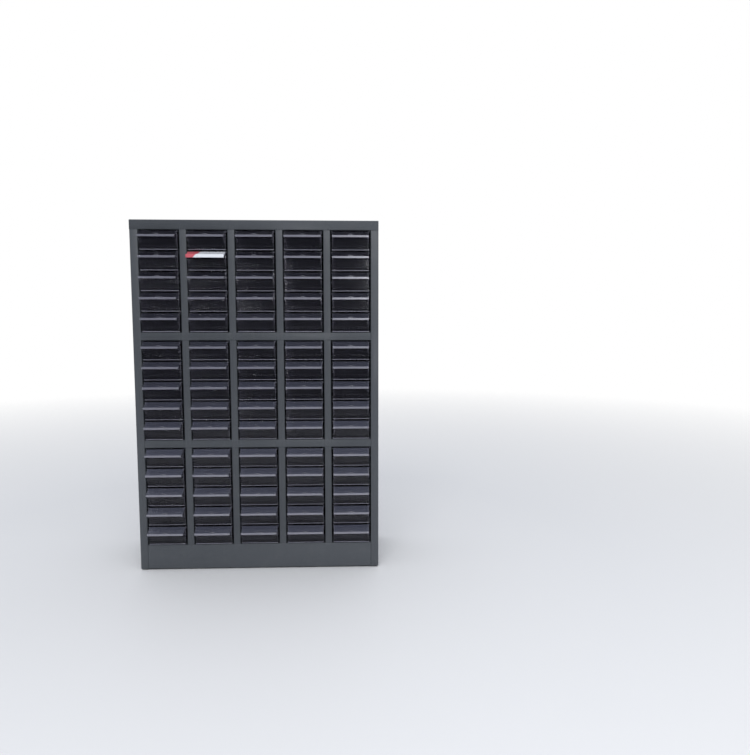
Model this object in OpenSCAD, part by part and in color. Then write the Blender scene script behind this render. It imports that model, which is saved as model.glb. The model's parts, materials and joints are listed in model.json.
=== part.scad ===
// Parts organizer: a folded sheet-steel case with a flush front frame and
// clear moulded drawers in three banks of five rows and five columns.
// +Z is up and the front faces -Y. The origin is on the floor, at the centre
// of the overall footprint, drawer handles included.

/* [Front frame] */
// Clear width of one column of drawers
opening_w = 96; // [94:0.5:104]
// Height of one row, drawer and gap together
row_pitch = 48.4; // [48:0.1:54]
// Face width of the two outer stiles
stile_w = 19; // [17:1:30]
// Face width of the four mullions between columns
mullion_w = 17; // [16:1:24]
// Face height of the rail under the top
top_rail_h = 23; // [20:1:40]
// Face height of the two rails between banks
middle_rail_h = 19; // [16:1:30]
// Face height of the plinth, without the feet
plinth_h = 60; // [40:1:100]
// Depth of the folded returns behind the front face
return_d = 15; // [12:1:16]

/* [Case] */
// Depth of the case, front face to back panel
case_d = 222; // [215:1:300]
// Thickness of the steel sheet
sheet_t = 1; // [0.8:0.1:1.2]
// Outside radius of every fold in the sheet
fold_r = 2; // [1.5:0.1:3]
// Width of the flanges that the back panel is riveted to
back_flange_w = 13; // [12:1:18]
// Height of the glide feet under the case
foot_h = 3; // [2:0.5:6]
// Radius of a glide foot
foot_r = 10; // [8:0.5:11]

/* [Runner plates] */
// Gap between the edge of an opening and the runner plate behind it
plate_inset = 0.5; // [0:0.1:1]
// How far each ledge reaches in under a drawer
ledge_w = 11.5; // [9:0.5:14]
// How far the front stop tab hangs below a ledge
stop_drop = 2; // [1.5:0.1:2.2]

/* [Drawer] */
// Outside width of the tray
drawer_w = 88; // [84:0.5:89]
// Height of the tray
drawer_h = 44; // [43:0.1:44.5]
// Length of the tray, front panel to back wall
drawer_l = 185; // [150:1:190]
// Thickness of the moulded walls
wall_t = 1.6; // [1.2:0.1:2]
// Thickness of the front panel
front_t = 2; // [1.6:0.1:2.5]
// How far the stiffening rims stand out along the tray's sides
rim_w = 1.5; // [1:0.1:2]
// Number of divider slots along each side
divider_slots = 5; // [3:1:6]

/* [Handle] */
// How far the lip stands in front of the front panel
lip_reach = 20; // [16:1:24]
// Height of the bottom edge of the lip above the drawer's underside
lip_z = 28.5; // [26:0.5:30]
// Height of the lip itself
lip_h = 4.5; // [4:0.1:5.5]
// Width of the handle
handle_w = 86; // [80:1:87]
// Width of the retaining tab in the middle of the lip
tab_w = 11; // [10:1:18]

/* [Hidden] */
columns = 5;
rows = 15;
bank_rows = 5;
banks = rows / bank_rows;
// rows above this one slide drawer by drawer; the rows below it are one node each
single_rows = 8;

case_nodes = ["side_panel_left", "side_panel_right", "top_panel", "bottom_panel",
    "back_panel", "base_plinth", "middle_rails", "mullions", "runner_plates_left",
    "runner_plates_right", "glide_feet", "back_panel_rivets", "label_card"];

bank_h = bank_rows * row_pitch;
case_w = columns * opening_w + (columns - 1) * mullion_w + 2 * stile_w;
plinth_top = foot_h + plinth_h;
top_rail_z = plinth_top + banks * bank_h + (banks - 1) * middle_rail_h;
case_h = top_rail_z + top_rail_h;
half_w = case_w / 2;
half_opening = opening_w / 2;
back_inner_y = case_d - sheet_t;

// gap between the opening's bottom edge and the drawer above it
drawer_lift = 1.5;
// a sliding fit between the drawer's underside and its ledge
slide_gap = 0.1;
// fine clearance where one sheet passes another
sheet_gap = 0.1;

fold_steps = 5;
foot_stem_r = 3;
foot_stem_h = 5;
foot_inset_x = 38;
foot_inset_y = 13;
foot_flange_d = 26;
rear_flange_h = 15;
mullion_overlap = 15;

plate_flange_w = 5;
ledge_start_y = 18;
ledge_end_y = 205;
stop_y = 22;
stop_h = 2.3;
stop_w = 6.5;

rivet_r = 2;
rivet_head_r = 4;
rivet_head_h = 1;
rivet_hole_r = rivet_r + 0.1;
rivet_rows = 6;
rivet_columns = 5;
rivet_margin = 40;

rim_h = 2;
rib_t = 1.2;
rib_reach = 1;
slot_gap = 2;
scoop_r = 12;
scoop_steps = 6;
lip_t = 1.6;
slope_t = 2;
slope_low_z = lip_z + lip_h - lip_t;
cheek_t = 1.6;
cheek_low_z = 18;
tab_h = 6;
tab_steps = 20;
tab_slot = [7, 1.9];

card_t = 0.4;
// gap under the part of the card on the slope, which never lies quite flat
card_gap = 0.05;
card_w = 88;
card_shift = -1;
card_back_y = -1;
card_row = 2;
card_column = 2;

// front face of the case, so that the origin is the centre of the footprint
front_y = -(case_d + rivet_head_h - lip_reach - card_t) / 2;

steel = [0.33, 0.35, 0.38];
clear_plastic = [0.34, 0.34, 0.42, 0.55];

function drawer_name(r, c) = str("drawer_r", r < 10 ? "0" : "", r, "_c", c);
function row_name(r) = str("drawers_row_", r < 10 ? "0" : "", r);

// centre of column c, counted from the left, and of the mullion to its right
function column_x(c) = (c - (columns + 1) / 2) * (opening_w + mullion_w);
function mullion_x(c) = column_x(c) + (opening_w + mullion_w) / 2;
// bottom of the opening of bank b, counted from the bottom, from 0
function bank_z(b) = plinth_top + b * (bank_h + middle_rail_h);
// underside of the drawers in row r, counted from the top, from 1
function row_z(r) =
    let (b = banks - 1 - floor((r - 1) / bank_rows), k = (r - 1) % bank_rows)
    bank_z(b) + (bank_rows - 1 - k) * row_pitch + drawer_lift;

function left_of(d) = [-d.y, d.x];
function direction(a, b) = (b - a) / norm(b - a);
function reversed(list) = [for (i = [len(list) - 1:-1:0]) list[i]];

// points around a right-angled fold at corner p, on the face `offset` to the
// left of the path, which runs in along d and out along e
function fold_arc(p, d, e, offset) =
    let (turn = cross(d, e) > 0 ? 1 : -1,
        r = turn > 0 ? fold_r : fold_r - sheet_t,
        centre = p + r * (e - d))
    [for (i = [0:fold_steps]) let (a = 90 * i / fold_steps)
        centre + (r - turn * offset) * (d * sin(a) - turn * left_of(d) * cos(a))];

function face_line(path, offset) =
    let (last = len(path) - 1,
        first_d = direction(path[0], path[1]),
        last_d = direction(path[last - 1], path[last]))
    concat([path[0] + offset * left_of(first_d)],
        [for (i = [1:1:last - 1])
            each fold_arc(path[i], direction(path[i - 1], path[i]),
                direction(path[i], path[i + 1]), offset)],
        [path[last] + offset * left_of(last_d)]);

// section of a sheet whose outer face follows a path of right-angled folds;
// the sheet's thickness lies to the left of the path
module folded_section(path)
    polygon(concat(face_line(path, 0), reversed(face_line(path, sheet_t))));

// draws a section given in Y and Z, centred along X
module along_x(length)
    translate([-length / 2, 0, 0]) rotate([90, 0, 90])
        linear_extrude(length) children();

module placed() translate([0, front_y, 0]) children();

// a block between two corners
module block(low, high) translate(low) cube(high - low);

// --- case ---

module rivet_places() {
    rise = (case_h - foot_h - 2 * rivet_margin) / (rivet_rows - 1);
    for (side = [-1, 1], i = [0:rivet_rows - 1])
        translate([side * (half_w - back_flange_w / 2), back_inner_y,
                foot_h + rivet_margin + i * rise]) children();
    step = (case_w - 2 * stile_w) / rivet_columns;
    for (i = [0:rivet_columns - 1])
        translate([(i - (rivet_columns - 1) / 2) * step, back_inner_y,
                case_h - rear_flange_h / 2]) children();
}

module rivet_holes()
    rivet_places() rotate([90, 0, 0])
        cylinder(r = rivet_hole_r, h = 4 * sheet_t, center = true, $fn = 24);

module foot_places(front = true, back = true)
    for (side = [-1, 1], y = concat(front ? [foot_inset_y] : [],
            back ? [case_d - foot_inset_y] : []))
        translate([side * (half_w - foot_inset_x), y, 0]) children();

module foot_holes(front = true, back = true)
    foot_places(front, back)
        cylinder(r = foot_stem_r, h = foot_h + 4 * sheet_t, $fn = 32);

// notches that let the mullions pass behind a rail's face
module mullion_notches(low_z, high_z)
    for (c = [1:columns - 1])
        block([mullion_x(c) - mullion_w / 2 - sheet_gap, sheet_t, low_z],
            [mullion_x(c) + mullion_w / 2 + sheet_gap, return_d + sheet_t, high_z]);

module left_side()
    difference() {
        translate([0, 0, foot_h]) linear_extrude(case_h - sheet_t - foot_h)
            folded_section([[-half_w + back_flange_w, back_inner_y],
                [-half_w, back_inner_y], [-half_w, 0],
                [-half_w + stile_w, 0], [-half_w + stile_w, return_d]]);
        // the stile stops under the top rail, and the web passes behind it
        block([-half_w + sheet_t, -sheet_t, top_rail_z],
            [-half_w + stile_w + sheet_t, return_d + sheet_t, case_h]);
        block([-half_w - sheet_t, -sheet_t, top_rail_z],
            [-half_w + 2 * sheet_t, sheet_t, case_h]);
        rivet_holes();
    }

module side_panel_left() color(steel) placed() left_side();

module side_panel_right() color(steel) placed() mirror([1, 0, 0]) left_side();

module top_panel() color(steel) placed()
    difference() {
        along_x(case_w) folded_section([[back_inner_y, case_h - rear_flange_h],
            [back_inner_y, case_h], [0, case_h], [0, top_rail_z],
            [return_d, top_rail_z]]);
        mullion_notches(top_rail_z - sheet_t, top_rail_z + 3 * sheet_t);
        for (side = [0, 1]) mirror([side, 0, 0]) {
            block([half_w - sheet_t, sheet_t, top_rail_z - sheet_t],
                [half_w + sheet_t, case_d, case_h - sheet_t]);
            block([half_w - back_flange_w, back_inner_y - 3 * sheet_t,
                    case_h - 2 * rear_flange_h],
                [half_w, case_d, case_h - sheet_t]);
        }
        rivet_holes();
    }

// narrower than the case, to clear the folds of the side panels
module bottom_panel() color(steel) placed()
    along_x(case_w - 2 * fold_r)
        folded_section([[back_inner_y - sheet_t, plinth_top - rear_flange_h],
            [back_inner_y - sheet_t, plinth_top], [return_d, plinth_top]]);

module back_panel() color(steel) placed()
    difference() {
        along_x(case_w) folded_section([[case_d - foot_flange_d, foot_h],
            [case_d, foot_h], [case_d, case_h]]);
        for (side = [0, 1]) mirror([side, 0, 0])
            block([half_w - back_flange_w, 0, 0],
                [half_w + sheet_t, back_inner_y, foot_h + 3 * sheet_t]);
        rivet_holes();
        foot_holes(front = false);
    }

module base_plinth() color(steel) placed()
    difference() {
        along_x(case_w - 2 * stile_w)
            folded_section([[return_d, plinth_top], [0, plinth_top],
                [0, foot_h], [foot_flange_d, foot_h]]);
        mullion_notches(plinth_top - 3 * sheet_t, plinth_top + sheet_t);
        foot_holes(back = false);
    }

module middle_rails() color(steel) placed()
    for (b = [1:banks - 1]) let (high = bank_z(b), low = high - middle_rail_h)
        difference() {
            along_x(case_w - 2 * stile_w) folded_section([[return_d, high],
                [0, high], [0, low], [return_d, low]]);
            mullion_notches(low - sheet_t, high + sheet_t);
        }

module mullions() color(steel) placed()
    for (c = [1:columns - 1])
        translate([mullion_x(c), 0, plinth_top - mullion_overlap])
            linear_extrude(top_rail_z - plinth_top + 2 * mullion_overlap)
                folded_section([[-mullion_w / 2, return_d], [-mullion_w / 2, sheet_t],
                    [mullion_w / 2, sheet_t], [mullion_w / 2, return_d]]);

module glide_feet() color("dimgray") placed()
    foot_places() {
        cylinder(r = foot_r, h = foot_h, $fn = 48);
        cylinder(r = foot_stem_r, h = foot_h + foot_stem_h, $fn = 32);
    }

module back_panel_rivets() color("silver") placed()
    rivet_places() rotate([-90, 0, 0]) {
        translate([0, 0, -3 * sheet_t])
            cylinder(r = rivet_r, h = 4 * sheet_t, $fn = 24);
        translate([0, 0, sheet_t])
            cylinder(r1 = rivet_head_r, r2 = rivet_r, h = rivet_head_h, $fn = 24);
    }

// --- runner plates ---

// teeth of one plate in X and Z: a strip at each of a bank's six levels
module ledge_teeth(x, w, h, first_level)
    for (b = [0:banks - 1], k = [first_level:bank_rows])
        translate([x, bank_z(b) + k * row_pitch + drawer_lift - slide_gap - h])
            square([w, h]);

// the plate on the left of a column, with x = 0 at the column's centre
module runner_plate() {
    skin_x = -half_opening - plate_inset;
    plate_h = case_h - sheet_t - plinth_top;
    // the plate ends clear of the fold at the back of the top panel
    plate_back_y = back_inner_y - fold_r;
    translate([0, 0, plinth_top]) linear_extrude(plate_h)
        folded_section([[skin_x - plate_flange_w, return_d], [skin_x, return_d],
            [skin_x, plate_back_y], [skin_x - plate_flange_w, plate_back_y]]);
    translate([0, ledge_end_y, 0]) rotate([90, 0, 0])
        linear_extrude(ledge_end_y - ledge_start_y)
            ledge_teeth(skin_x - sheet_t / 2, ledge_w + sheet_t / 2, sheet_t, 0);
    // front stop tabs, which catch the stops on the tray's back corners
    translate([0, stop_y + sheet_t, 0]) rotate([90, 0, 0]) linear_extrude(sheet_t)
        ledge_teeth(skin_x + ledge_w - stop_w, stop_w, sheet_t + stop_drop, 1);
}

module runner_plates_left() color(steel) placed()
    for (c = [1:columns]) translate([column_x(c), 0, 0]) runner_plate();

module runner_plates_right() color(steel) placed()
    for (c = [1:columns])
        translate([column_x(c), 0, 0]) mirror([1, 0, 0]) runner_plate();

// --- drawers ---

// plan of the tray's hollow, narrowed by the ribs that hold dividers
module hollow_plan() {
    inner_w = drawer_w - 2 * wall_t;
    inner_l = drawer_l - front_t - wall_t;
    pitch = inner_l / (divider_slots + 1);
    difference() {
        translate([-inner_w / 2, front_t]) square([inner_w, inner_l]);
        for (side = [0, 1], i = [1:divider_slots], edge = [-1, 1])
            mirror([side, 0]) translate([inner_w / 2 - rib_reach,
                    front_t + i * pitch + edge * (slot_gap + rib_t) / 2 - rib_t / 2])
                square([2 * rib_reach, rib_t]);
    }
}

module tray() {
    difference() {
        block([-drawer_w / 2, 0, 0], [drawer_w / 2, drawer_l, drawer_h]);
        translate([0, 0, wall_t]) linear_extrude(drawer_h) hollow_plan();
    }
    for (side = [0, 1]) mirror([side, 0, 0]) {
        block([drawer_w / 2 - wall_t / 2, front_t, drawer_h - rim_h],
            [drawer_w / 2 + rim_w, drawer_l, drawer_h]);
        block([drawer_w / 2 - stop_w, drawer_l - wall_t, drawer_h - rim_h],
            [drawer_w / 2, drawer_l, drawer_h + stop_h]);
    }
    // curved scoop between the floor and the front panel
    along_x(drawer_w - wall_t) polygon(concat(
        [[front_t / 2, wall_t / 2], [front_t / 2, wall_t + scoop_r]],
        [for (i = [0:scoop_steps]) let (a = 180 + 90 * i / scoop_steps)
            [front_t + scoop_r * (1 + cos(a)), wall_t + scoop_r * (1 + sin(a))]],
        [[front_t + scoop_r, wall_t / 2]]));
}

function ellipse(w, h) = [for (i = [0:tab_steps - 1])
    let (a = 360 * i / tab_steps) [w / 2 * cos(a), h / 2 * sin(a)]];

// hood that slopes from the tray's top edge down to the lip
module handle() {
    back_y = -lip_reach + lip_t;
    top_z = lip_z + lip_h;
    difference() {
        union() {
            along_x(handle_w) polygon([[front_t / 2, drawer_h - slope_t],
                [front_t / 2, drawer_h], [0, drawer_h], [back_y, slope_low_z],
                [back_y, top_z], [-lip_reach, top_z], [-lip_reach, lip_z],
                [back_y, lip_z], [back_y, slope_low_z - slope_t],
                [0, drawer_h - slope_t]]);
            for (side = [-1, 1])
                translate([side * (handle_w - cheek_t) / 2, 0, 0]) along_x(cheek_t)
                    polygon([[front_t / 2, cheek_low_z], [front_t / 2, drawer_h],
                        [0, drawer_h], [back_y, slope_low_z], [-lip_reach, slope_low_z],
                        [-lip_reach, lip_z], [0, cheek_low_z]]);
            translate([0, back_y, top_z]) rotate([90, 0, 0])
                linear_extrude(lip_t) polygon(ellipse(tab_w, tab_h));
        }
        translate([-tab_slot.x / 2, -2 * lip_reach, top_z])
            cube([tab_slot.x, 2 * lip_reach - lip_t, tab_slot.y]);
    }
}

module drawer() {
    tray();
    handle();
}

module drawer_at(r, c)
    color(clear_plastic) placed()
        translate([column_x(c), 0, row_z(r)]) drawer();

module drawer_row(r)
    for (c = [1:columns]) drawer_at(r, c);

// card that lies on the slope and folds up over the tab and down in front of the lip
module label_card() color("white") placed() {
    lip_back_y = -lip_reach + lip_t;
    fold_z = lip_z + lip_h + tab_h / 2;
    translate([column_x(card_column) + card_shift, 0, row_z(card_row)])
        along_x(card_w) polygon([[card_back_y, card_low_z(card_back_y)],
            [lip_back_y, card_low_z(lip_back_y)], [lip_back_y, fold_z],
            [-lip_reach, fold_z], [-lip_reach, lip_z],
            [-lip_reach - card_t, lip_z], [-lip_reach - card_t, fold_z + card_t],
            [lip_back_y + card_t, fold_z + card_t],
            [lip_back_y + card_t, card_low_z(lip_back_y + card_t) + card_t],
            [card_back_y, card_low_z(card_back_y) + card_t]]);
}

// height of the card's underside, just above the slope, at a place in front of the panel
function card_low_z(y) =
    drawer_h + card_gap + (drawer_h - slope_low_z) * y / (lip_reach - lip_t);

side_panel_left();
side_panel_right();
top_panel();
bottom_panel();
back_panel();
base_plinth();
middle_rails();
mullions();
runner_plates_left();
runner_plates_right();
glide_feet();
back_panel_rivets();
label_card();
for (r = [1:single_rows], c = [1:columns])
    drawer_at(r, c);
for (r = [single_rows + 1:rows])
    drawer_row(r);
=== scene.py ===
"""Looks of the parts organizer cabinet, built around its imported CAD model.

The steel case keeps its CAD nodes and gets softened edges and a powder-coat material. Each clear
drawer is rebuilt from a CAD drawer's mesh with moulded, rounded edges, and stands for its node.
Lengths are in metres and the frame is the CAD's: +Z up, the drawers open towards -Y.
"""

import json
import math

import bmesh
import bpy
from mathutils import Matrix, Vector


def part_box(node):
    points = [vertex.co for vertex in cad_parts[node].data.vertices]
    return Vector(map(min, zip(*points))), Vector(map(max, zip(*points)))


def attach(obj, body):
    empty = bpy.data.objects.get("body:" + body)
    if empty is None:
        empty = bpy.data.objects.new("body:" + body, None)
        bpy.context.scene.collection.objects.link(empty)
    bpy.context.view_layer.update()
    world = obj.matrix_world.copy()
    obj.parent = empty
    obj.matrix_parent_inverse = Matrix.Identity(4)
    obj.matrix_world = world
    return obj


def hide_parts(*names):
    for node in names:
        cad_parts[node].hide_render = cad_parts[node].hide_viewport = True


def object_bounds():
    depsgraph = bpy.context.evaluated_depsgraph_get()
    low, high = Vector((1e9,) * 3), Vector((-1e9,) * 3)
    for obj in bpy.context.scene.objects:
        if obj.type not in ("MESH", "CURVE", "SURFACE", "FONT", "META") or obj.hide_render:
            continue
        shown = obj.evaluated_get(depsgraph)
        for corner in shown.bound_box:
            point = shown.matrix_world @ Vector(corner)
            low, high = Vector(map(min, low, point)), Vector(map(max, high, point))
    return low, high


MM = 0.001
SAME_PLACE = 0.001 * MM  # points closer than this are one point
SAME_PLANE = 0.01 * MM  # a point closer to a plane than this is on it
SHARP = math.radians(50)  # faces that meet at a wider turn than this get a rounded edge

# drawers, measured from their underside and from the front of the lip
LIP_REACH = 20 * MM  # from the front panel to the front of the lip
LIP_DEPTH = 2 * MM  # faces nearer to the front than this belong to the lip
FLOOR_T = 1.6 * MM  # thickness of the tray's floor
PANEL_T = 3 * MM  # everything further back than this behind the front panel is inside the tray
RIM_Z = 43 * MM  # edges below this level can be inside the tray
DRAWER_ZONES = ("wall", "edge", "slope", "lip", "inner_edge")  # each with its own material

# widths of rounded edges
SHEET_EDGE = 0.2 * MM
CARD_EDGE = 0.08 * MM
MOULDED_EDGE = 0.35 * MM
BOTTOM_EDGE = 1.4 * MM
RUBBED_W = 1.4 * MM  # how far the coat is rubbed along an edge

# brightness of the room's walls and ceiling, and the heights between which one becomes the other
WALL_LIGHT, CEILING_LIGHT = 0.16, 1.1
WALL_TOP, CEILING_START = 0.15, 0.95
DAYLIGHT = (0.93, 0.95, 1.0)
ROOM_TINT = (0.90, 0.93, 1.0, 1)

FLOOR_RADIUS = 9.0
FLOOR_FADE = (0.9, 4.0)  # distances from the cabinet between which the floor fades out

EYE_DISTANCE, EYE_RIGHT, EYE_HEIGHT = 1.467, 0.229, 0.613  # camera from the front of the cabinet
EYE_TURN, EYE_TILT = math.radians(-2.14), math.radians(-5.27)
LENS, SENSOR = 29.3, 36.0

BAND_END = (0.19, 0.18)  # where the card's red band ends and where it is full, of its width
BAND_LEAN = 0.9  # how far its end moves to the right for each unit of height

COAT_DARK, COAT_PALE = (0.066, 0.074, 0.085, 1), (0.079, 0.087, 0.098, 1)
COAT_SPECKLE = (0.130, 0.138, 0.150, 1)
COAT_WORN = (0.22, 0.23, 0.25, 1)
DUST = (0.24, 0.23, 0.21, 1)
PAPER_COOL, PAPER_WHITE = (0.86, 0.90, 0.97, 1), (0.95, 0.97, 1.0, 1)
INK_DARK, INK_PALE = (0.62, 0.085, 0.12, 1), (0.74, 0.17, 0.20, 1)
PLASTIC_RUBBED = (0.20, 0.20, 0.24, 1)
# painted shade: near black, which the label slopes take on when seen at a slant
PAINTED_SLANT_SHADE = (0.012, 0.012, 0.02, 1)

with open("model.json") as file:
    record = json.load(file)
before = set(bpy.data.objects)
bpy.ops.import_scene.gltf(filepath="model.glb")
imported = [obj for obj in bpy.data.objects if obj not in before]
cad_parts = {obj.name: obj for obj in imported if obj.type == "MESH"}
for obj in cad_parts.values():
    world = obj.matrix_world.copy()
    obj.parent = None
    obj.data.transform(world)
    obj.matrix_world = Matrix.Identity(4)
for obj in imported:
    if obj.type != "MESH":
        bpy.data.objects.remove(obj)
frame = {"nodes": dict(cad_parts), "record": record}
cad_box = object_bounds()


# ---------------------------------------------------------------- materials


def grey(value):
    """A neutral colour of one linear value."""
    return (value, value, value, 1.0)


class Shader:
    """A node material under construction, with short calls for the nodes that repeat."""

    def __init__(self, name):
        self.material = bpy.data.materials.new(name)
        self.material.use_nodes = True
        self.tree = self.material.node_tree
        self.bsdf = self.tree.nodes["Principled BSDF"]
        self.place = self.tree.nodes.new("ShaderNodeTexCoord").outputs["Object"]

    def node(self, kind, inputs=None, **settings):
        made = self.tree.nodes.new("ShaderNode" + kind)
        for key, value in settings.items():
            setattr(made, key, value)
        for key, value in (inputs or {}).items():
            self.feed(made.inputs[key], value)
        return made

    def feed(self, socket, value):
        if isinstance(value, bpy.types.NodeSocket):
            self.tree.links.new(value, socket)
        else:
            socket.default_value = value

    def noise(self, scale, detail=2.0, roughness=0.5, stretch=None):
        """A soft random pattern of `scale` blobs a metre, drawn out where stretch is below 1."""
        place = self.place
        if stretch is not None:
            place = self.node("Mapping", {"Vector": place, "Scale": stretch}).outputs[0]
        inputs = {"Vector": place, "Scale": scale, "Detail": detail, "Roughness": roughness}
        return self.node("TexNoise", inputs).outputs["Fac"]

    def ramp(self, value, low, high, to_low=0.0, to_high=1.0):
        """Turns the values from low to high into those from to_low to to_high."""
        inputs = {0: value, 1: low, 2: high, 3: to_low, 4: to_high}
        return self.node("MapRange", inputs, clamp=True).outputs[0]

    def maths(self, operation, a, b):
        return self.node("Math", {0: a, 1: b}, operation=operation).outputs[0]

    def mix(self, factor, a, b):
        made = self.node("Mix", data_type="RGBA")
        self.feed(made.inputs["Factor"], factor)
        self.feed(made.inputs[6], a)
        self.feed(made.inputs[7], b)
        return made.outputs[2]

    def bump(self, height, strength, distance):
        inputs = {"Height": height, "Strength": strength, "Distance": distance}
        return self.node("Bump", inputs).outputs[0]

    def edge(self, radius):
        """1 along sharp edges within a radius, 0 on flat faces."""
        flat_dot, edge_dot = 0.98, 0.80  # of the rounded and the true normal
        rounded = self.node("Bevel", {"Radius": radius}, samples=4).outputs[0]
        flat = self.node("NewGeometry").outputs["Normal"]
        dot = self.node("VectorMath", {0: rounded, 1: flat}, operation="DOT_PRODUCT")
        return self.ramp(dot.outputs["Value"], flat_dot, edge_dot)

    def set(self, **inputs):
        for key, value in inputs.items():
            self.feed(self.bsdf.inputs[key.replace("_", " ")], value)
        return self.material


def powder_coat():
    """Dark blue-grey powder coat: fine orange peel, slow tone drift, dust and rubbed edges."""
    s = Shader("powder_coated_steel")
    drift = s.noise(5.0, 3.0, 0.6)
    speckle = s.noise(900.0, 2.0, 0.7)
    colour = s.mix(drift, COAT_DARK, COAT_PALE)
    colour = s.mix(s.ramp(speckle, 0.62, 0.80, 0.0, 0.5), colour, COAT_SPECKLE)
    dust = s.maths("MULTIPLY", s.ramp(s.noise(38.0, 5.0, 0.7), 0.55, 0.75), 0.10)
    colour = s.mix(dust, colour, DUST)
    worn = s.maths("MULTIPLY", s.edge(RUBBED_W), s.ramp(s.noise(55.0, 4.0, 0.7), 0.42, 0.66))
    colour = s.mix(s.maths("MULTIPLY", worn, 0.55), colour, COAT_WORN)
    roughness = s.ramp(s.noise(16.0, 4.0, 0.6), 0.3, 0.7, 0.42, 0.56)
    peel = s.maths("ADD", s.noise(420.0, 2.0, 0.5), s.maths("MULTIPLY", speckle, 0.35))
    return s.set(
        Base_Color=colour,
        Roughness=roughness,
        Specular_IOR_Level=0.42,
        Coat_Weight=0.12,
        Coat_Roughness=0.25,
        Normal=s.bump(peel, 0.16, 0.12 * MM),
    )


def bare_aluminium():
    """Dull, slightly dented aluminium of the blind rivets."""
    s = Shader("rivet_aluminium")
    tone = s.mix(s.noise(600.0, 3.0), grey(0.42), grey(0.62))
    roughness = s.ramp(s.noise(900.0, 3.0), 0.3, 0.7, 0.30, 0.48)
    dents = s.bump(s.noise(700.0, 2.0), 0.25, 0.1 * MM)
    return s.set(Base_Color=tone, Metallic=1.0, Roughness=roughness, Normal=dents)


def black_plastic():
    """Moulded black plastic of the glide feet, scuffed and dusty."""
    s = Shader("black_plastic")
    scuff = s.ramp(s.noise(240.0, 4.0, 0.7), 0.5, 0.75)
    colour = s.mix(scuff, grey(0.018), grey(0.06))
    roughness = s.ramp(scuff, 0.0, 1.0, 0.45, 0.7)
    grain = s.bump(s.noise(1500.0, 2.0), 0.2, 0.05 * MM)
    return s.set(Base_Color=colour, Roughness=roughness, Normal=grain)


def label_paper(corner, width):
    """White card with paper fibre and a red band, whose edge leans, along its left end."""
    s = Shader("label_paper")
    from_corner = s.node("VectorMath", {0: s.place, 1: corner}, operation="SUBTRACT").outputs[0]
    split = s.node("SeparateXYZ", {0: from_corner})
    lean = s.maths("MULTIPLY", split.outputs[2], BAND_LEAN)
    red = s.ramp(s.maths("SUBTRACT", split.outputs[0], lean), *(w * width for w in BAND_END))
    fibre = s.noise(900.0, 5.0, 0.7)
    white = s.mix(fibre, PAPER_COOL, PAPER_WHITE)
    ink = s.mix(s.noise(130.0, 3.0), INK_DARK, INK_PALE)
    return s.set(
        Base_Color=s.mix(red, white, ink),
        Roughness=0.62,
        Normal=s.bump(fibre, 0.15, 0.08 * MM),
    )


def clear_plastic(name, tint, cover, roughness, mirror, painted_slant_shade=None):
    """Clear styrene with soft waves and rubbed patches, which hides more at a slant.

    cover is the share of what lies behind one face that it hides, seen straight on, and mirror is
    how strongly it reflects there. The slant colour, where one is given, is painted shade: the
    face's colour turns to it the more the face is seen at a slant.
    """
    s = Shader(name)
    scratches = s.noise(260.0, 3.0, 0.6, stretch=(0.12, 1.0, 1.0))
    rub = s.ramp(scratches, 0.60, 0.78)
    waves = s.bump(s.noise(34.0, 2.0), 0.10, 0.5 * MM)
    slant = s.node("LayerWeight", {"Blend": 0.5, "Normal": waves}).outputs["Facing"]
    glance = s.maths("MULTIPLY", s.maths("POWER", slant, 5.0), 1.0 - cover)
    hidden = s.maths("ADD", s.maths("MULTIPLY", rub, 0.05), cover)
    # painted shade: the colour turns to the slant colour the more the face is seen at a slant
    if painted_slant_shade is not None:
        tint = s.mix(s.ramp(slant, 0.30, 0.52), tint, painted_slant_shade)
    return s.set(
        Base_Color=s.mix(s.maths("MULTIPLY", rub, 0.3), tint, PLASTIC_RUBBED),
        Roughness=s.maths("ADD", roughness, s.maths("MULTIPLY", rub, 0.18)),
        IOR=index_for(mirror / cover),
        Alpha=s.node("Clamp", {"Value": s.maths("ADD", hidden, glance)}).outputs[0],
        Normal=waves,
    )


def index_for(mirror):
    """Refractive index of a surface that reflects this share of the light, seen straight on."""
    return (1 + math.sqrt(mirror)) / (1 - math.sqrt(mirror))


def use_material(obj, material):
    """Gives every slot of an object one material."""
    if not obj.material_slots:
        obj.data.materials.append(material)
    for slot in obj.material_slots:
        slot.material = material


# ------------------------------------------------------------------- steel


def soften(obj, width):
    """Rounds an object's sharp edges with modifiers, leaving its own mesh as it is."""
    weld = obj.modifiers.new("weld", "WELD")
    weld.merge_threshold = SAME_PLACE
    bevel = obj.modifiers.new("bevel", "BEVEL")
    bevel.width = width
    bevel.segments = 2
    bevel.limit_method = "ANGLE"
    bevel.angle_limit = math.radians(40)
    bevel.use_clamp_overlap = True
    bevel.harden_normals = True
    for polygon in obj.data.polygons:
        polygon.use_smooth = True


def dress_case():
    """Materials and softened edges for the CAD nodes that stay."""
    by_slot = {
        "powder_coated_steel": powder_coat(),
        "rivet_aluminium": bare_aluminium(),
        "black_plastic": black_plastic(),
    }
    for part in frame["record"]["subparts"]:
        material = by_slot.get(part["material_slot"])
        if material is not None:
            node = frame["nodes"][part["node"]]
            use_material(node, material)
            soften(node, SHEET_EDGE)


# ----------------------------------------------------------------- drawers


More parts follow.
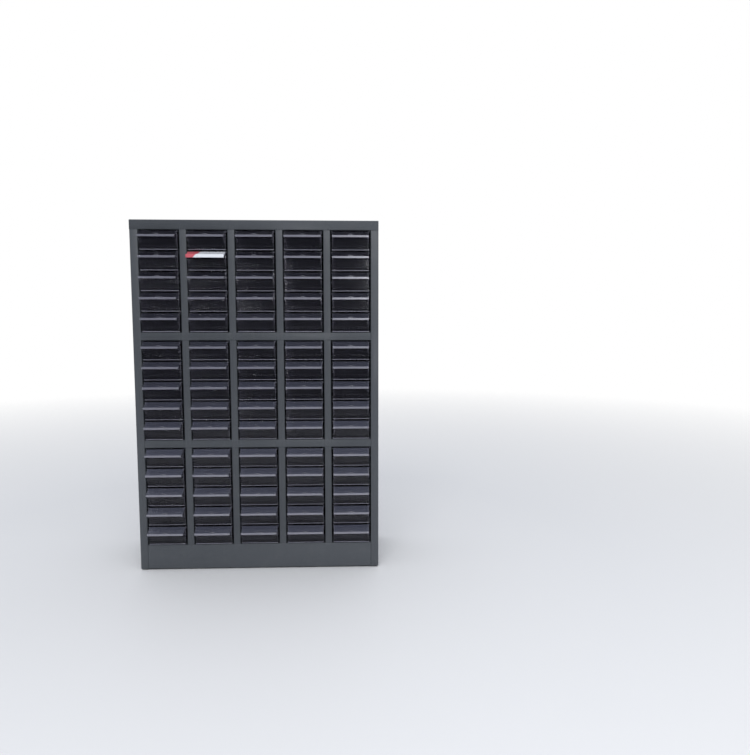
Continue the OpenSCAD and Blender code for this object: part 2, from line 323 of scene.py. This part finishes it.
def drawer_zones(work, low):
    """Gives each face of a drawer its number in DRAWER_ZONES.

    The strip where the floor meets the front panel gets the edges' painted highlight, so it is cut
    off first.
    """
    panel_y = low.y + LIP_REACH

    def on_panel(face):
        return abs(face.calc_center_median().y - panel_y) < SAME_PLANE and face.normal.y < -0.9

    def on_lip(face):
        return face.calc_center_median().y < low.y + LIP_DEPTH

    panel = [face for face in work.faces if on_panel(face)]
    rims = {part for face in panel for part in (*face.edges, *face.verts)}
    bmesh.ops.bisect_plane(
        work, geom=[*panel, *rims], plane_co=(0, 0, low.z + FLOOR_T), plane_no=(0, 0, 1)
    )
    for face in work.faces:
        centre = face.calc_center_median()
        slope = centre.y < panel_y and face.normal.y < -0.3 and face.normal.z > 0.3
        if on_panel(face) and centre.z < low.z + FLOOR_T:
            face.material_index = DRAWER_ZONES.index("edge")
        elif on_lip(face):
            face.material_index = DRAWER_ZONES.index("lip")
        elif slope:
            face.material_index = DRAWER_ZONES.index("slope")


def round_edges(work, chosen, radius, zone):
    """Rounds the chosen sharp edges, and gives the rounded faces a zone's material."""
    sharp = [
        e
        for e in work.edges
        if e.is_manifold and e.calc_face_angle() > SHARP and chosen(e)
    ]
    rounded = bmesh.ops.bevel(
        work,
        geom=sharp,
        offset=radius,
        offset_type="OFFSET",
        segments=2,
        profile=0.5,
        affect="EDGES",
        clamp_overlap=True,
        material=DRAWER_ZONES.index(zone),
    )
    for face in rounded["faces"]:
        face.smooth = True


def moulded_copy(source, name):
    """A new mesh from a CAD drawer's mesh, its triangles joined to faces and its edges rounded.

    The rounded edges get a paler colour than the walls, a painted highlight for the light that the
    edges of clear mouldings catch. The edge along the bottom of the front panel is rounded more.
    """
    work = bmesh.new()
    work.from_mesh(source.data)
    bmesh.ops.remove_doubles(work, verts=work.verts, dist=SAME_PLACE)
    bmesh.ops.dissolve_limit(
        work, angle_limit=math.radians(1), verts=work.verts, edges=work.edges
    )
    low = Vector(min(v.co[i] for v in work.verts) for i in range(3))
    drawer_zones(work, low)

    def bottom_front(edge):
        return all(
            abs(v.co.z - low.z) < SAME_PLANE and abs(v.co.y - low.y - LIP_REACH) < SAME_PLANE
            for v in edge.verts
        )

    def inside(edge):
        return all(
            v.co.y > low.y + LIP_REACH + PANEL_T and v.co.z < low.z + RIM_Z for v in edge.verts
        )

    # the rounded faces take the edge zones' colours, which are painted highlights
    round_edges(work, bottom_front, BOTTOM_EDGE, "edge")
    round_edges(work, inside, MOULDED_EDGE, "inner_edge")
    round_edges(work, lambda edge: True, MOULDED_EDGE, "edge")
    made = bpy.data.meshes.new(name)
    work.to_mesh(made)
    work.free()
    return made


def drawer_materials():
    """The clear plastic of each of a drawer's zones."""
    return {
        "wall": clear_plastic(
            "clear_plastic", (0.020, 0.020, 0.032, 1), cover=0.26, roughness=0.07, mirror=0.018
        ),
        # edge: a pale, mostly opaque colour on the rounded outer edges and the bottom strip, a
        # painted highlight beside the edges' real reflection of the lamps
        "edge": clear_plastic(
            "clear_plastic_edge_painted_highlight", (0.46, 0.45, 0.55, 1), cover=0.75, roughness=0.25, mirror=0.10
        ),
        # slope: the pale blue-violet tint seen straight on is a painted sheen of the lit room, and
        # the near black at a slant is painted shade
        "slope": clear_plastic(
            "clear_plastic_slope_painted_sheen_and_shade",
            (0.15, 0.16, 0.22, 1),
            cover=0.40,
            roughness=0.14,
            mirror=0.02,
            painted_slant_shade=PAINTED_SLANT_SHADE,
        ),
        # lip: its pale, mostly opaque colour is a painted highlight, beside the lip's real
        # reflection of the lamps
        "lip": clear_plastic(
            "clear_plastic_lip_painted_highlight", (0.25, 0.25, 0.31, 1), cover=0.70, roughness=0.25, mirror=0.12
        ),
        # inner_edge: a dimmer painted highlight on the rounded edges inside the tray
        "inner_edge": clear_plastic(
            "clear_plastic_inner_edge_painted_highlight",
            (0.10, 0.10, 0.14, 1),
            cover=0.45,
            roughness=0.20,
            mirror=0.03,
        ),
    }


def add_drawers():
    """One moulded drawer for every drawer of the CAD, each riding on its own body."""
    materials = drawer_materials()
    singles = sorted(n for n in frame["nodes"] if n.startswith("drawer_r"))
    rows = sorted(n for n in frame["nodes"] if n.startswith("drawers_row_"))
    pattern_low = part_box(singles[0])[0]
    mesh = moulded_copy(frame["nodes"][singles[0]], "drawer")
    for zone in DRAWER_ZONES:
        mesh.materials.append(materials[zone])
    columns = sorted({round(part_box(n)[0].x, 6) for n in singles})
    body_of_node = {
        n: body for body, nodes in frame["record"]["behaviour"]["bodies"].items() for n in nodes
    }

    def place(name, node, low):
        drawer = bpy.data.objects.new(name, mesh)
        bpy.context.scene.collection.objects.link(drawer)
        drawer.location = low - pattern_low
        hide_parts(node)
        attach(drawer, body_of_node[node])

    for node in singles:
        place("clear_" + node, node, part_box(node)[0])
    for node in rows:
        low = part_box(node)[0]
        for number, x in enumerate(columns, 1):
            place(f"clear_{node}_c{number}", node, Vector((x, low.y, low.z)))


def dress_label():
    """Paper and softened edges for the card on one drawer."""
    low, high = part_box("label_card")
    card = frame["nodes"]["label_card"]
    use_material(card, label_paper(low, high.x - low.x))
    soften(card, CARD_EDGE)


# ------------------------------------------------------------------- stage


def add_floor():
    """A pale floor that fades out far from the cabinet, so that no horizon shows."""
    work = bmesh.new()
    bmesh.ops.create_circle(work, cap_ends=True, segments=96, radius=FLOOR_RADIUS)
    mesh = bpy.data.meshes.new("floor")
    work.to_mesh(mesh)
    work.free()
    floor = bpy.data.objects.new("floor", mesh)
    bpy.context.scene.collection.objects.link(floor)
    s = Shader("pale_floor")
    distance = s.node("VectorMath", {0: s.place}, operation="LENGTH").outputs["Value"]
    s.set(Base_Color=grey(0.86), Roughness=0.55, Alpha=s.ramp(distance, *FLOOR_FADE, 1.0, 0.0))
    mesh.materials.append(s.material)


def add_area_light(name, place, target, size, power, colour=(1, 1, 1)):
    """A rectangular soft light at a place, turned to a target."""
    data = bpy.data.lights.new(name, "AREA")
    data.shape = "RECTANGLE"
    data.size, data.size_y = size
    data.energy = power
    data.color = colour
    light = bpy.data.objects.new(name, data)
    light.location = place
    light.rotation_euler = (Vector(target) - Vector(place)).to_track_quat("-Z", "Y").to_euler()
    bpy.context.scene.collection.objects.link(light)


def add_lights():
    """A large soft light overhead, and small cool ones in front of and beside the cabinet."""
    add_area_light("ceiling_softbox", (0.1, -2.6, 3.2), (0, -0.1, 0.2), (2.4, 1.6), 42)
    add_area_light("right_softbox", (1.0, -1.2, 1.3), (0.1, 0, 0.4), (0.6, 0.6), 1.5, DAYLIGHT)
    add_area_light("front_softbox", (0.62, -3.2, 0.92), (0.1, 0, 0.5), (0.5, 0.5), 10, DAYLIGHT)


def add_world():
    """White to the camera, and a grey room with a bright ceiling as a light source."""
    world = bpy.data.worlds.new("studio")
    world.use_nodes = True
    bpy.context.scene.world = world
    nodes, links = world.node_tree.nodes, world.node_tree.links
    place = nodes.new("ShaderNodeTexCoord")
    split = nodes.new("ShaderNodeSeparateXYZ")
    rise = nodes.new("ShaderNodeMapRange")
    room = nodes["Background"]
    room.inputs[0].default_value = ROOM_TINT
    white = nodes.new("ShaderNodeBackground")
    path = nodes.new("ShaderNodeLightPath")
    mix = nodes.new("ShaderNodeMixShader")
    for number, value in enumerate((WALL_TOP, CEILING_START, WALL_LIGHT, CEILING_LIGHT), 1):
        rise.inputs[number].default_value = value
    white.inputs[0].default_value = (1, 1, 1, 1)
    for output, socket in (
        (place.outputs["Generated"], split.inputs[0]),
        (split.outputs["Z"], rise.inputs[0]),
        (rise.outputs[0], room.inputs[1]),
        (path.outputs["Is Camera Ray"], mix.inputs[0]),
        (room.outputs[0], mix.inputs[1]),
        (white.outputs[0], mix.inputs[2]),
        (mix.outputs[0], nodes["World Output"].inputs["Surface"]),
    ):
        links.new(output, socket)


def add_camera():
    """Eye level with the upper middle of the front, right of centre, looking slightly down."""
    data = bpy.data.cameras.new("camera")
    data.sensor_width = SENSOR
    data.lens = LENS
    camera = bpy.data.objects.new("camera", data)
    camera.location = (EYE_RIGHT, cad_box[0].y - EYE_DISTANCE, EYE_HEIGHT)
    camera.rotation_mode = "XYZ"
    camera.rotation_euler = (math.pi / 2 + EYE_TILT, 0.0, EYE_TURN)
    bpy.context.scene.collection.objects.link(camera)
    bpy.context.scene.camera = camera


def set_light_paths():
    """Enough transparent steps to see through a whole drawer, and true colours.

    The denoiser gets colours alone: its other inputs stay grainy behind several clear walls.
    """
    scene = bpy.context.scene
    scene.cycles.transparent_max_bounces = 32
    scene.cycles.max_bounces = 10
    scene.cycles.denoising_input_passes = "RGB"
    scene.cycles.caustics_reflective = False
    scene.cycles.caustics_refractive = False
    scene.view_settings.view_transform = "Standard"


dress_case()
add_drawers()
dress_label()
add_floor()
add_world()
add_lights()
add_camera()
set_light_paths()
